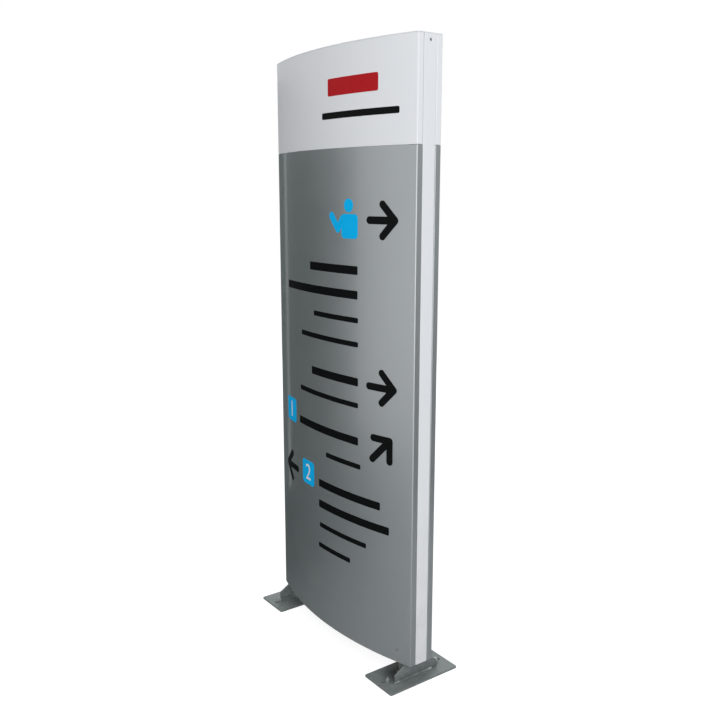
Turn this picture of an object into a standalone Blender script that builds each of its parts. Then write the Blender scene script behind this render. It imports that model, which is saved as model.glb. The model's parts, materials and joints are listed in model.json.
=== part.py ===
"""Free-standing double-sided totem sign.

A welded steel frame on two base plates carries folded and rolled aluminium shells.
Metres, +Z up. The origin is on the ground, midway between the two feet.
X runs along the width of the sign, and its front face looks towards -Y.
"""

import math

import bmesh
import bpy
from mathutils import Matrix, Vector

# Whole sign
HEIGHT = 2.000                 # ground to the top of the cap
WIDTH = 0.770                  # across the outer side faces
BULGE = 0.063                  # how far each face bows out past its side corners
GROUND_CLEARANCE = 0.058       # ground to the lower edge of the shells
HEADER_HEIGHT = 0.307          # lower edge of the header shells to the top of the cap

# Clearances
GAP = 0.0003                   # between pieces that rest on each other
SHELL_JOINT = 0.0010           # open joint between header and main shell
REVEAL = 0.0010                # open joint between a shell and the upright beside it
POST_CLEARANCE = 0.0030        # post to the inside of the shells' side corners
GUSSET_CLEARANCE = 0.0010      # gusset to the lower edge of the shells
POST_CUTOUT_CLEARANCE = 0.0010  # bottom plate round a post

# Posts, rectangular tube
POST_WIDTH = 0.040
POST_DEPTH = 0.080
POST_WALL = 0.003
POST_CORNER = 0.005

# Uprights, the visible side profiles, hat-shaped in section
UPRIGHT_FACE = 0.046
UPRIGHT_DEPTH = 0.030          # side face to the post
UPRIGHT_WALL = 0.0025
UPRIGHT_EDGE = 0.0015          # rounding of the two visible corners
FLANGE_MARGIN = 0.002          # flange edge to the post's edge

# Shells, folded sheet
SHEET = 0.002
BEND = 0.003                   # outside radius of a fold
LIP = 0.020                    # inward lip along each side return

# Feet
PLATE_WIDTH = 0.140
PLATE_LENGTH = 0.280
PLATE_THICKNESS = 0.006
PLATE_CORNER = 0.006
PLATE_EDGE = 0.0008
ANCHOR_HOLE = 0.012
ANCHOR_SETBACK = 0.022         # anchor hole to the plate's end
LEVELLER_SETBACK = 0.038       # levelling screw to the plate's end
LEVELLER_OFFSET = 0.004        # levelling screw outward of the plate's middle
LEVELLER_SCREW = 0.008
LEVELLER_HEIGHT = 0.0185       # length of a levelling screw
NUT_ACROSS_FLATS = 0.013
NUT_HEIGHT = 0.0065
GUSSET_SETBACK = 0.052         # gusset to the plate's end
GUSSET_THICKNESS = 0.006
GUSSET_END = 0.023             # height of the gusset's upright ends

# Frame inside
RAIL_SIZE = 0.040
RAIL_WALL = 0.002
RAIL_CORNER = 0.004
FORMER_THICKNESS = 0.003
FORMER_RIM = 0.022             # metal left along a former's curved edge
FORMER_WEB = 0.015             # metal left beside the rail
FORMER_END = 0.100             # metal left beside a post
FORMER_MIDDLE = 0.030          # half of the metal left in the middle
FORMER_FILLET = 0.006
STRIP_THICKNESS = 0.002
STRIP_HEIGHT = 0.054
BOTTOM_RECESS = 0.002          # bottom plate above the shells' lower edge
DRAIN_HOLE = 0.010
DRAIN_SPACING = 0.260

# Cap
CAP_THICKNESS = 0.003
CAP_EDGE = 0.001
TAB_THICKNESS = 0.003
TAB_WIDTH = 0.030
TAB_HEIGHT = 0.036

# Fasteners
STUD_NECK = 0.006
STUD_HEAD = 0.012
STUD_HEAD_HEIGHT = 0.002
STUD_TAIL = 0.009
STUD_TAIL_HEIGHT = 0.0015
STUD_INSET = 0.011             # stud to the side face
STUD_END = 0.060               # end studs to the end of their shell
KEYHOLE = 0.0132
KEYHOLE_DROP = 0.020           # keyhole below its stud
MAIN_STUD_COUNT = 3
HEADER_STUD_COUNT = 2
UPRIGHT_SCREW_END = 0.140      # upright's screws to its ends
SCREW_SHANK = 0.004
SCREW_HEAD = 0.007
SCREW_HEAD_HEIGHT = 0.002
SCREW_HEAD_RIM = 0.6           # straight part of a head, as a share of its height
SCREW_HEAD_CROWN = 0.72        # flat on top of a head, as a share of its width
SCREW_GRIP = 0.003             # length past the last sheet
RAIL_SCREW_END = 0.120         # screws of a former or the bottom plate to the end of their rail
SHELL_SCREW_HEAD = 0.009
SHELL_SCREW_DOME = 0.0018
SHELL_SCREW_RISE = 0.044       # above the shells' lower edge
CAP_SCREW_SHANK = 0.006
CAP_SCREW_HEAD = 0.0085
CAP_SCREW_HEAD_HEIGHT = 0.005
CAP_SCREW_SOCKET = 0.005
CAP_SCREW_SOCKET_DEPTH = 0.003
CAP_SCREW_RECESS = 0.001       # screw head below the side face
CAP_SCREW_DROP = 0.020         # below the top of the cap
CAP_SCREW_GRIP = 0.006

# Worked out
HALF_WIDTH = WIDTH / 2
HALF_DEPTH = POST_DEPTH / 2 + POST_CLEARANCE + SHEET      # at the side corners
FACE_RADIUS = (HALF_WIDTH ** 2 + BULGE ** 2) / (2 * BULGE)
POST_OUTER = HALF_WIDTH - UPRIGHT_DEPTH
POST_INNER = POST_OUTER - POST_WIDTH
POST_X = POST_OUTER - POST_WIDTH / 2
JOINT_HEIGHT = HEIGHT - HEADER_HEIGHT
SHELL_TOP = HEIGHT - CAP_THICKNESS - GAP
LIP_FACE = UPRIGHT_FACE / 2 + REVEAL
FLANGE_EDGE = POST_DEPTH / 2 - FLANGE_MARGIN
TAB_INSET = CAP_SCREW_RECESS + CAP_SCREW_HEAD_HEIGHT + GAP
STRIP_INSET = SHEET + GAP
STRIPPED_INSET = STRIP_INSET + STRIP_THICKNESS + GAP
BOTTOM_PLATE_Z = GROUND_CLEARANCE + BOTTOM_RECESS
MAIN_HEIGHT = JOINT_HEIGHT - GROUND_CLEARANCE

# Facets
FACE_SEGMENTS = 24
OPENING_SEGMENTS = 6
CORNER_SEGMENTS = 3
HOLE_SEGMENTS = 10
ANCHOR_SEGMENTS = 16
SMALL_SEGMENTS = 8
DOME_SEGMENTS = 10
SMOOTH_ANGLE = math.radians(30)
CUT_OVERRUN = 0.001            # how far a cutter stands out of what it cuts

SIDES = (("left", -1), ("right", 1))
FACES = (("front", -1), ("rear", 1))
LEVELS = ("lower", "upper")
FORMERS = ("lower", "upper", "joint")      # equal spans up from the lower edge of the shells


def clear_scene():
    """Remove every object that the scene starts with."""
    for item in list(bpy.data.objects):
        bpy.data.objects.remove(item, do_unlink=True)


def finish(name, colour, roughness, metallic):
    """Principled material with one colour."""
    material = bpy.data.materials.new(name)
    material.use_nodes = True
    shader = material.node_tree.nodes["Principled BSDF"]
    shader.inputs["Base Color"].default_value = (*colour, 1.0)
    shader.inputs["Roughness"].default_value = roughness
    shader.inputs["Metallic"].default_value = metallic
    return material


def link_mesh(name, bm, material=None):
    """Turn a bmesh into a linked object, smooth where its faces meet at a small angle."""
    mesh = bpy.data.meshes.new(name)
    bm.to_mesh(mesh)
    bm.free()
    mesh.shade_smooth()
    mesh.set_sharp_from_angle(angle=SMOOTH_ANGLE)
    if material:
        mesh.materials.append(material)
    item = bpy.data.objects.new(name, mesh)
    bpy.context.scene.collection.objects.link(item)
    return item


def add_solid(name, bm, material):
    """Object of one or more closed bodies, their faces turned outward."""
    bmesh.ops.recalc_face_normals(bm, faces=bm.faces)
    return link_mesh(name, bm, material)


def add_helper(name, bm):
    """Closed body that only shapes other pieces."""
    bmesh.ops.recalc_face_normals(bm, faces=bm.faces)
    helper = link_mesh(name, bm)
    helper.hide_render = True
    helper.display_type = "WIRE"
    return helper


def combine(piece, helper, operation):
    """Boolean between a piece and a helper."""
    modifier = piece.modifiers.new(helper.name, "BOOLEAN")
    modifier.operation = operation
    modifier.solver = "EXACT"
    modifier.object = helper


def extrude_outline(bm, points, vector):
    """Fill a closed outline and pull it along a vector. Gives the edges that rise from its points."""
    base = [bm.verts.new(point) for point in points]
    face = bm.faces.new(base)
    grown = bmesh.ops.extrude_face_region(bm, geom=[face])["geom"]
    top = {item for item in grown if isinstance(item, bmesh.types.BMVert)}
    bmesh.ops.translate(bm, verts=list(top), vec=vector)
    return [edge for vert in base for edge in vert.link_edges if edge.other_vert(vert) in top]


def round_edges(bm, edges, radius, segments=CORNER_SEGMENTS):
    """Round some edges."""
    bmesh.ops.bevel(bm, geom=edges, offset=radius, segments=segments, profile=0.5, affect="EDGES")


def add_box(bm, low, high):
    """Box between two corners."""
    low, high = Vector(low), Vector(high)
    place = Matrix.LocRotScale((low + high) / 2, None, high - low)
    bmesh.ops.create_cube(bm, size=1.0, matrix=place)


def aim(point, direction):
    """Placement at a point, with local Z along a direction."""
    turn = Vector(direction).to_track_quat("Z", "Y").to_matrix().to_4x4()
    return Matrix.Translation(point) @ turn


def add_rod(bm, start, end, radius, segments=HOLE_SEGMENTS):
    """Cylinder from one point to another."""
    start, end = Vector(start), Vector(end)
    place = aim((start + end) / 2, end - start)
    bmesh.ops.create_cone(bm, cap_ends=True, segments=segments, radius1=radius, radius2=radius,
                          depth=(end - start).length, matrix=place)


def add_turned(bm, profile, place, segments=SMALL_SEGMENTS):
    """Spin a profile of (radius, height) points, from axis to axis, and put the body in place."""
    spun = bmesh.new()
    verts = [spun.verts.new((radius, 0.0, height)) for radius, height in profile]
    edges = [spun.edges.new(pair) for pair in zip(verts, verts[1:])]
    bmesh.ops.spin(spun, geom=verts + edges, cent=(0, 0, 0), axis=(0, 0, 1), dvec=(0, 0, 0),
                   angle=math.tau, steps=segments, use_merge=True)
    bmesh.ops.remove_doubles(spun, verts=spun.verts, dist=0.00001)
    bmesh.ops.transform(spun, matrix=place, verts=spun.verts)
    mesh = bpy.data.meshes.new("turned")
    spun.to_mesh(mesh)
    spun.free()
    bm.from_mesh(mesh)
    bpy.data.meshes.remove(mesh)


def add_screw(name, profile, place, material, segments=SMALL_SEGMENTS):
    """Turned fastener as a piece of its own."""
    bm = bmesh.new()
    add_turned(bm, profile, place, segments)
    return add_solid(name, bm, material)


def screw_profile(head, head_height, shank, length):
    """Profile of a screw whose head rests on height 0 and whose shank points down."""
    return [(0, -length), (shank / 2, -length), (shank / 2, 0), (head / 2, 0),
            (head / 2, head_height * SCREW_HEAD_RIM), (head / 2 * SCREW_HEAD_CROWN, head_height),
            (0, head_height)]


def rounded_rectangle(width, height, radius):
    """Outline of a rectangle about the origin with rounded corners."""
    points = []
    for quarter, (x_sign, y_sign) in enumerate(((1, 1), (-1, 1), (-1, -1), (1, -1))):
        centre_x = x_sign * (width / 2 - radius)
        centre_y = y_sign * (height / 2 - radius)
        for step in range(CORNER_SEGMENTS + 1):
            angle = (quarter + step / CORNER_SEGMENTS) * math.pi / 2
            points.append((centre_x + radius * math.cos(angle), centre_y + radius * math.sin(angle)))
    return points


def add_loop(bm, points):
    """Closed loop of edges through some points."""
    verts = [bm.verts.new(point) for point in points]
    return [bm.edges.new(pair) for pair in zip(verts, verts[1:] + verts[:1])]


def add_tube(bm, section, wall_section, place, length):
    """Tube with the given outer and inner outline, drawn along local Z."""
    start = set(bm.verts)
    edges = [edge for outline in (section, wall_section) for edge in
             add_loop(bm, [(x, y, 0) for x, y in outline])]
    ring = bmesh.ops.bridge_loops(bm, edges=edges)["faces"]
    grown = bmesh.ops.extrude_face_region(bm, geom=ring)["geom"]
    top = [item for item in grown if isinstance(item, bmesh.types.BMVert)]
    bmesh.ops.translate(bm, verts=top, vec=(0, 0, length))
    bmesh.ops.transform(bm, matrix=place, verts=[vert for vert in bm.verts if vert not in start])


def face_depth(x, inset=0.0):
    """Distance from the middle plane to the curved face at x, moved inward by inset."""
    radius = FACE_RADIUS - inset
    return math.sqrt(radius ** 2 - x ** 2) - (FACE_RADIUS - BULGE - HALF_DEPTH)


def face_arc(x_from, x_to, inset=0.0, segments=FACE_SEGMENTS):
    """Points along the rear face, in equal turns about the face's axis."""
    radius = FACE_RADIUS - inset
    first, last = math.asin(x_from / radius), math.asin(x_to / radius)
    points = []
    for step in range(segments + 1):
        x = radius * math.sin(first + (last - first) * step / segments)
        points.append((x, face_depth(x, inset)))
    return points


def lens_outline(reach, inset):
    """Outline between the two curved faces, cut off at x = -reach and x = reach."""
    rear = face_arc(reach, -reach, inset)
    front = [(-x, -y) for x, y in rear]
    return rear + front


def spread(first, last, count):
    """Evenly spaced values, ends included."""
    return [first + (last - first) * step / (count - 1) for step in range(count)]


def stud_heights():
    """Heights of the hook studs: first those of the main shells, then those of the header."""
    main = spread(GROUND_CLEARANCE + STUD_END, JOINT_HEIGHT - STUD_END, MAIN_STUD_COUNT)
    header = spread(JOINT_HEIGHT + STUD_END, HEIGHT - STUD_END, HEADER_STUD_COUNT)
    return main, header


def post_centres():
    """Side name, its sign, and the X position of its post."""
    return [(side, sign, sign * POST_X) for side, sign in SIDES]


def leveller_places(sign):
    """Name and middle of each levelling screw on one base plate."""
    x = sign * (POST_X + LEVELLER_OFFSET)
    reach = PLATE_LENGTH / 2 - LEVELLER_SETBACK
    return [(end, x, face * reach) for end, face in FACES]


def build_base_plate(side, sign, material):
    """Foot plate with rounded corners, two anchor holes and two holes for levelling screws."""
    bm = bmesh.new()
    outline = rounded_rectangle(PLATE_WIDTH, PLATE_LENGTH, PLATE_CORNER)
    points = [(sign * POST_X + x, y, 0) for x, y in outline]
    rising = extrude_outline(bm, points, (0, 0, PLATE_THICKNESS))
    top = {vert for edge in rising for vert in edge.verts if vert.co.z > PLATE_THICKNESS / 2}
    rim = [edge for edge in bm.edges if set(edge.verts) <= top]
    round_edges(bm, rim, PLATE_EDGE, segments=1)
    plate = add_solid(f"{side}_base_plate", bm, material)

    holes = bmesh.new()
    low, high = -CUT_OVERRUN, PLATE_THICKNESS + CUT_OVERRUN
    for end in (-1, 1):
        y = end * (PLATE_LENGTH / 2 - ANCHOR_SETBACK)
        x = sign * POST_X
        add_rod(holes, (x, y, low), (x, y, high), ANCHOR_HOLE / 2, ANCHOR_SEGMENTS)
    for _, x, y in leveller_places(sign):
        add_rod(holes, (x, y, low), (x, y, high), LEVELLER_SCREW / 2 + GAP, ANCHOR_SEGMENTS)
    combine(plate, add_helper(f"{side}_base_plate_holes", holes), "DIFFERENCE")


def build_levellers(side, sign, material):
    """Levelling screws through the base plate, each with a nut on top of the plate."""
    low = PLATE_THICKNESS + GAP
    corner = NUT_ACROSS_FLATS / 2 / math.cos(math.pi / 6)
    for end, x, y in leveller_places(sign):
        screw = bmesh.new()
        add_rod(screw, (x, y, GAP), (x, y, LEVELLER_HEIGHT), LEVELLER_SCREW / 2, ANCHOR_SEGMENTS)
        add_solid(f"{side}_{end}_levelling_screw", screw, material)

        nut = bmesh.new()
        add_rod(nut, (x, y, low), (x, y, low + NUT_HEIGHT), corner, 6)
        nut = add_solid(f"{side}_{end}_levelling_nut", nut, material)
        bore = bmesh.new()
        add_rod(bore, (x, y, low - CUT_OVERRUN), (x, y, low + NUT_HEIGHT + CUT_OVERRUN),
                LEVELLER_SCREW / 2 + GAP, ANCHOR_SEGMENTS)
        combine(nut, add_helper(f"{side}_{end}_nut_bore", bore), "DIFFERENCE")


def build_gusset(side, sign, material):
    """Web plate on the outer face of the post, standing on the base plate."""
    inner = POST_OUTER + GAP
    low = PLATE_THICKNESS + GAP
    foot = PLATE_LENGTH / 2 - GUSSET_SETBACK
    head = POST_DEPTH / 2
    top = GROUND_CLEARANCE - GUSSET_CLEARANCE
    half = [(foot, low), (foot, low + GUSSET_END), (head, top)]
    outline = half + [(-y, z) for y, z in reversed(half)]
    bm = bmesh.new()
    extrude_outline(bm, [(sign * inner, y, z) for y, z in outline], (sign * GUSSET_THICKNESS, 0, 0))
    add_solid(f"{side}_gusset", bm, material)


def upright_screw_places(sign):
    """Name of each screw of one upright and the point on the flange under its head."""
    x = sign * (POST_OUTER + GAP + UPRIGHT_WALL)
    y = (UPRIGHT_FACE / 2 + FLANGE_EDGE) / 2
    heights = (GROUND_CLEARANCE + UPRIGHT_SCREW_END, SHELL_TOP - UPRIGHT_SCREW_END)
    return [(f"{end}_{level}", (x, face * y, z))
            for end, face in FACES for level, z in zip(LEVELS, heights)]


def build_upright_screw_holes(side, sign):
    """Clearance holes through both flanges of the upright and the wall of the post."""
    holes = bmesh.new()
    length = UPRIGHT_WALL + GAP + POST_WALL
    for _, (x, y, z) in upright_screw_places(sign):
        add_rod(holes, (x + sign * CUT_OVERRUN, y, z), (x - sign * (length + CUT_OVERRUN), y, z),
                SCREW_SHANK / 2 + GAP)
    return add_helper(f"{side}_upright_screw_holes", holes)


def build_upright_screws(side, sign, material):
    """Screws that hold the upright to the post."""
    length = UPRIGHT_WALL + POST_WALL + SCREW_GRIP
    profile = screw_profile(SCREW_HEAD, SCREW_HEAD_HEIGHT, SCREW_SHANK, length)
    for name, (x, y, z) in upright_screw_places(sign):
        add_screw(f"{side}_{name}_upright_screw", profile, aim((x + sign * GAP, y, z), (sign, 0, 0)),
                  material, HOLE_SEGMENTS)


def build_post(side, sign, material, screw_holes):
    """Rectangular tube from the base plate to the cap."""
    outer = rounded_rectangle(POST_WIDTH, POST_DEPTH, POST_CORNER)
    inner = rounded_rectangle(POST_WIDTH - 2 * POST_WALL, POST_DEPTH - 2 * POST_WALL,
                              POST_CORNER - POST_WALL)
    bm = bmesh.new()
    low = PLATE_THICKNESS + GAP
    add_tube(bm, outer, inner, Matrix.Translation((sign * POST_X, 0, low)), SHELL_TOP - low)
    post = add_solid(f"{side}_post", bm, material)
    combine(post, screw_holes, "DIFFERENCE")


def build_upright(side, sign, material, screw_holes):
    """Hat-shaped side profile, a face, two webs and two flanges, with the studs riveted to it."""
    face = UPRIGHT_FACE / 2
    depth = UPRIGHT_DEPTH - GAP
    wall = UPRIGHT_WALL
    half = [(0, face), (depth - wall, face), (depth - wall, FLANGE_EDGE), (depth, FLANGE_EDGE),
            (depth, face - wall), (wall, face - wall)]
    outline = half + [(inset, -y) for inset, y in reversed(half)]
    points = [(sign * (HALF_WIDTH - inset), y, GROUND_CLEARANCE) for inset, y in outline]
    bm = bmesh.new()
    rising = extrude_outline(bm, points, (0, 0, SHELL_TOP - GROUND_CLEARANCE))
    round_edges(bm, [rising[0], rising[-1]], UPRIGHT_EDGE)
    upright = add_solid(f"{side}_upright", bm, material)

    holes = bmesh.new()
    z = HEIGHT - CAP_SCREW_DROP
    add_rod(holes, (sign * (HALF_WIDTH + CUT_OVERRUN), 0, z),
            (sign * (HALF_WIDTH - wall - CUT_OVERRUN), 0, z), CAP_SCREW_HEAD / 2 + GAP, ANCHOR_SEGMENTS)
    combine(upright, add_helper(f"{side}_cap_screw_hole", holes), "DIFFERENCE")
    combine(upright, screw_holes, "DIFFERENCE")
    combine(upright, build_studs(side, sign), "UNION")


def build_studs(side, sign):
    """Headed studs through the upright's webs, which the shells hang on."""
    neck, head, tail = STUD_NECK / 2, STUD_HEAD / 2, STUD_TAIL / 2
    grip = REVEAL + SHEET + GAP
    back = UPRIGHT_WALL
    profile = [(0, -back - STUD_TAIL_HEIGHT), (tail, -back - STUD_TAIL_HEIGHT), (tail, -back / 2),
               (neck, -back / 2), (neck, grip), (head, grip), (head, grip + STUD_HEAD_HEIGHT),
               (0, grip + STUD_HEAD_HEIGHT)]
    bm = bmesh.new()
    for group in stud_heights():
        for z in group:
            for _, face in FACES:
                point = (sign * (HALF_WIDTH - STUD_INSET), face * UPRIGHT_FACE / 2, z)
                add_turned(bm, profile, aim(point, (0, face, 0)))
    return add_helper(f"{side}_studs", bm)


def keyhole_outline():
    """Keyhole about its stud: a slot round the stud's neck above an opening for the head."""
    slot = STUD_NECK / 2 + GAP
    opening = KEYHOLE / 2
    shoulder = math.asin(slot / opening)
    points = []
    for step in range(SMALL_SEGMENTS // 2 + 1):
        angle = math.tau / SMALL_SEGMENTS * step
        points.append((slot * math.cos(angle), slot * math.sin(angle)))
    for angle in spread(math.pi / 2 + shoulder, math.pi * 5 / 2 - shoulder, DOME_SEGMENTS):
        points.append((opening * math.cos(angle), opening * math.sin(angle) - KEYHOLE_DROP))
    return points


def shell_path():
    """Outer line of a rear shell in plan, from lip to lip, and which of its points are folds."""
    lip_end = HALF_WIDTH - LIP
    right = [(lip_end, LIP_FACE), (HALF_WIDTH, LIP_FACE)]
    left = [(-HALF_WIDTH, LIP_FACE), (-lip_end, LIP_FACE)]
    path = right + face_arc(HALF_WIDTH, -HALF_WIDTH) + left
    folds = [1, 2, len(path) - 3, len(path) - 2]
    return path, folds


def add_sheet(name, path, folds, low, high, thickness, face, material):
    """Sheet that follows a line in plan, folded at some of its points, with its thickness inside."""
    if face < 0:
        path = [(x, -y) for x, y in reversed(path)]
    bm = bmesh.new()
    lower = [bm.verts.new((x, y, low)) for x, y in path]
    upper = [bm.verts.new((x, y, high)) for x, y in path]
    for step in range(len(path) - 1):
        bm.faces.new((lower[step], lower[step + 1], upper[step + 1], upper[step]))
    fold_edges = [bm.edges.get((lower[index], upper[index])) for index in folds]
    if fold_edges:
        round_edges(bm, fold_edges, BEND)
    sheet = link_mesh(name, bm, material)
    solidify = sheet.modifiers.new("thickness", "SOLIDIFY")
    solidify.thickness = thickness
    solidify.offset = -1.0
    solidify.use_even_offset = True
    return sheet


def build_shell(name, face, low, high, levels, material):
    """Curved shell with a return and a lip down each side, and a keyhole for each stud."""
    path, folds = shell_path()
    shell = add_sheet(name, path, folds, low, high, SHEET, face, material)
    keyholes = bmesh.new()
    near = face * (LIP_FACE - CUT_OVERRUN / 2)
    across = (0, face * (SHEET + CUT_OVERRUN), 0)
    for _, sign in SIDES:
        for level in levels:
            x = sign * (HALF_WIDTH - STUD_INSET)
            extrude_outline(keyholes, [(x + a, near, level + b) for a, b in keyhole_outline()], across)
    combine(shell, add_helper(f"{name}_keyholes", keyholes), "DIFFERENCE")
    return shell


def shell_screw_places(face):
    """Side, point on the outer face and way out, for each screw of a main shell."""
    z = GROUND_CLEARANCE + SHELL_SCREW_RISE
    places = []
    for side, _, x in post_centres():
        turn = math.asin(x / FACE_RADIUS)
        outward = Vector((math.sin(turn), face * math.cos(turn), 0))
        places.append((side, Vector((x, face * face_depth(x), z)), outward))
    return places


def build_shell_screws(name, face, material):
    """Dome-headed screws through the foot of a main shell into the strip behind it."""
    length = STRIPPED_INSET + SCREW_GRIP
    profile = screw_profile(SHELL_SCREW_HEAD, SHELL_SCREW_DOME, SCREW_SHANK, length)
    for side, point, outward in shell_screw_places(face):
        add_screw(f"{name}_{side}_shell_screw", profile, aim(point + GAP * outward, outward),
                  material, DOME_SEGMENTS)


def build_shell_screw_holes(name, face):
    """Clearance holes for those screws."""
    holes = bmesh.new()
    for _, point, outward in shell_screw_places(face):
        add_rod(holes, point + CUT_OVERRUN * outward, point - (STRIPPED_INSET + CUT_OVERRUN) * outward,
                SCREW_SHANK / 2 + GAP, DOME_SEGMENTS)
    return add_helper(f"{name}_shell_screw_holes", holes)


def build_strip(name, face, low, high, material):
    """Rolled strip that backs the shells along one edge."""
    path = face_arc(POST_OUTER, -POST_OUTER, STRIP_INSET)
    return add_sheet(name, path, [], low, high, STRIP_THICKNESS, face, material)


def build_rail(name, top, material):
    """Square tube welded between the posts."""
    outer = rounded_rectangle(RAIL_SIZE, RAIL_SIZE, RAIL_CORNER)
    inner_size = RAIL_SIZE - 2 * RAIL_WALL
    inner = rounded_rectangle(inner_size, inner_size, RAIL_CORNER - RAIL_WALL)
    reach = POST_INNER - GAP
    bm = bmesh.new()
    add_tube(bm, outer, inner, aim((-reach, 0, top - RAIL_SIZE / 2), (1, 0, 0)), 2 * reach)
    return add_solid(name, bm, material)


def rail_screw_positions():
    """Side and X position of each screw along a rail."""
    return [(side, sign * (POST_INNER - RAIL_SCREW_END)) for side, sign in SIDES]


def drill_for_screws(name, pieces, z_from, z_to):
    """Clearance holes along a rail through everything between two heights."""
    holes = bmesh.new()
    for _, x in rail_screw_positions():
        add_rod(holes, (x, 0, z_from), (x, 0, z_to), SCREW_SHANK / 2 + GAP)
    helper = add_helper(f"{name}_screw_holes", holes)
    for piece in pieces:
        combine(piece, helper, "DIFFERENCE")


def add_rail_screws(name, seat, up, material):
    """Screws along a rail, their heads on the face at the height seat."""
    length = FORMER_THICKNESS + RAIL_WALL + SCREW_GRIP
    profile = screw_profile(SCREW_HEAD, SCREW_HEAD_HEIGHT, SCREW_SHANK, length)
    for side, x in rail_screw_positions():
        add_screw(f"{name}_{side}_screw", profile, aim((x, 0, seat + up * GAP), (0, 0, up)),
                  material, HOLE_SEGMENTS)


def former_opening(inset):
    """One of the four windows in a former, the rear right one, and its corner points."""
    reach = POST_INNER - FORMER_END
    edge = RAIL_SIZE / 2 + FORMER_WEB
    arc = face_arc(reach, FORMER_MIDDLE, inset + FORMER_RIM, OPENING_SEGMENTS)
    return arc + [(FORMER_MIDDLE, edge), (reach, edge)]


def build_former(name, low, inset, material):
    """Lens-shaped plate on a rail, with four windows, that keeps the shells to their curve."""
    bm = bmesh.new()
    outline = lens_outline(POST_INNER - GAP, inset)
    extrude_outline(bm, [(x, y, low) for x, y in outline], (0, 0, FORMER_THICKNESS))
    former = add_solid(name, bm, material)

    windows = bmesh.new()
    depth = (0, 0, FORMER_THICKNESS + 2 * CUT_OVERRUN)
    for x_sign in (-1, 1):
        for y_sign in (-1, 1):
            outline = [(x_sign * x, y_sign * y, low - CUT_OVERRUN) for x, y in former_opening(inset)]
            rising = extrude_outline(windows, outline, depth)
            corners = (0, OPENING_SEGMENTS, OPENING_SEGMENTS + 1, OPENING_SEGMENTS + 2)
            round_edges(windows, [rising[index] for index in corners], FORMER_FILLET)
    combine(former, add_helper(f"{name}_windows", windows), "DIFFERENCE")
    return former


def build_bottom_plate(material):
    """Plate that closes the underside, with a cut-out round each post and drain holes."""
    bm = bmesh.new()
    outline = lens_outline(POST_OUTER, STRIPPED_INSET)
    extrude_outline(bm, [(x, y, BOTTOM_PLATE_Z) for x, y in outline], (0, 0, FORMER_THICKNESS))
    plate = add_solid("bottom_plate", bm, material)

    cutouts = bmesh.new()
    low, high = BOTTOM_PLATE_Z - CUT_OVERRUN, BOTTOM_PLATE_Z + FORMER_THICKNESS + CUT_OVERRUN
    depth = POST_DEPTH / 2 + POST_CUTOUT_CLEARANCE
    for _, _, x in post_centres():
        width = POST_WIDTH / 2 + POST_CUTOUT_CLEARANCE
        add_box(cutouts, (x - width, -depth, low), (x + width, depth, high))
    y = RAIL_SIZE / 2 + FORMER_WEB
    for x_sign in (-1, 1):
        for y_sign in (-1, 1):
            x = x_sign * DRAIN_SPACING / 2
            add_rod(cutouts, (x, y_sign * y, low), (x, y_sign * y, high), DRAIN_HOLE / 2)
    combine(plate, add_helper("bottom_plate_cutouts", cutouts), "DIFFERENCE")
    return plate


def build_cap(material):
    """Lens-shaped lid over shells, uprights and posts, with a tab down into each upright."""
    bm = bmesh.new()
    low = HEIGHT - CAP_THICKNESS
    outline = lens_outline(HALF_WIDTH, 0.0)
    rising = extrude_outline(bm, [(x, y, low) for x, y in outline], (0, 0, CAP_THICKNESS))
    corners = (0, FACE_SEGMENTS, FACE_SEGMENTS + 1, 2 * FACE_SEGMENTS + 1)
    round_edges(bm, [rising[index] for index in corners], BEND)
    rim = [edge for edge in bm.edges if min(vert.co.z for vert in edge.verts) > HEIGHT - CAP_EDGE]
    round_edges(bm, rim, CAP_EDGE, segments=2)
    cap = add_solid("top_cap", bm, material)

    tabs = bmesh.new()
    holes = bmesh.new()
    z = HEIGHT - CAP_SCREW_DROP
    for _, sign in SIDES:
        near, far = HALF_WIDTH - TAB_INSET, HALF_WIDTH - TAB_INSET - TAB_THICKNESS
        inner, outer = sorted((sign * far, sign * near))
        add_box(tabs, (inner, -TAB_WIDTH / 2, low - TAB_HEIGHT),
                (outer, TAB_WIDTH / 2, low + CAP_THICKNESS / 2))
        add_rod(holes, (sign * (near + CUT_OVERRUN), 0, z), (sign * (far - CUT_OVERRUN), 0, z),
                CAP_SCREW_SHANK / 2 + GAP, ANCHOR_SEGMENTS)
    combine(cap, add_helper("cap_tabs", tabs), "UNION")
    combine(cap, add_helper("cap_tab_holes", holes), "DIFFERENCE")


def build_cap_screw(side, sign, material):
    """Socket screw in the top of an upright, through the tab of the cap."""
    z = HEIGHT - CAP_SCREW_DROP
    seat = sign * (HALF_WIDTH - CAP_SCREW_RECESS - CAP_SCREW_HEAD_HEIGHT)
    head, shank = CAP_SCREW_HEAD / 2, CAP_SCREW_SHANK / 2
    length = GAP + TAB_THICKNESS + CAP_SCREW_GRIP
    profile = [(0, -length), (shank, -length), (shank, 0), (head, 0), (head, CAP_SCREW_HEAD_HEIGHT),
               (0, CAP_SCREW_HEAD_HEIGHT)]
    bm = bmesh.new()
    add_turned(bm, profile, aim((seat, 0, z), (sign, 0, 0)), ANCHOR_SEGMENTS)
    screw = add_solid(f"{side}_cap_screw", bm, material)

    socket = bmesh.new()
    outside = sign * (HALF_WIDTH - CAP_SCREW_RECESS)
    radius = CAP_SCREW_SOCKET / 2 / math.cos(math.pi / 6)
    add_rod(socket, (outside + sign * CUT_OVERRUN, 0, z),
            (outside - sign * CAP_SCREW_SOCKET_DEPTH, 0, z), radius, 6)
    combine(screw, add_helper(f"{side}_cap_screw_socket", socket), "DIFFERENCE")


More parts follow.
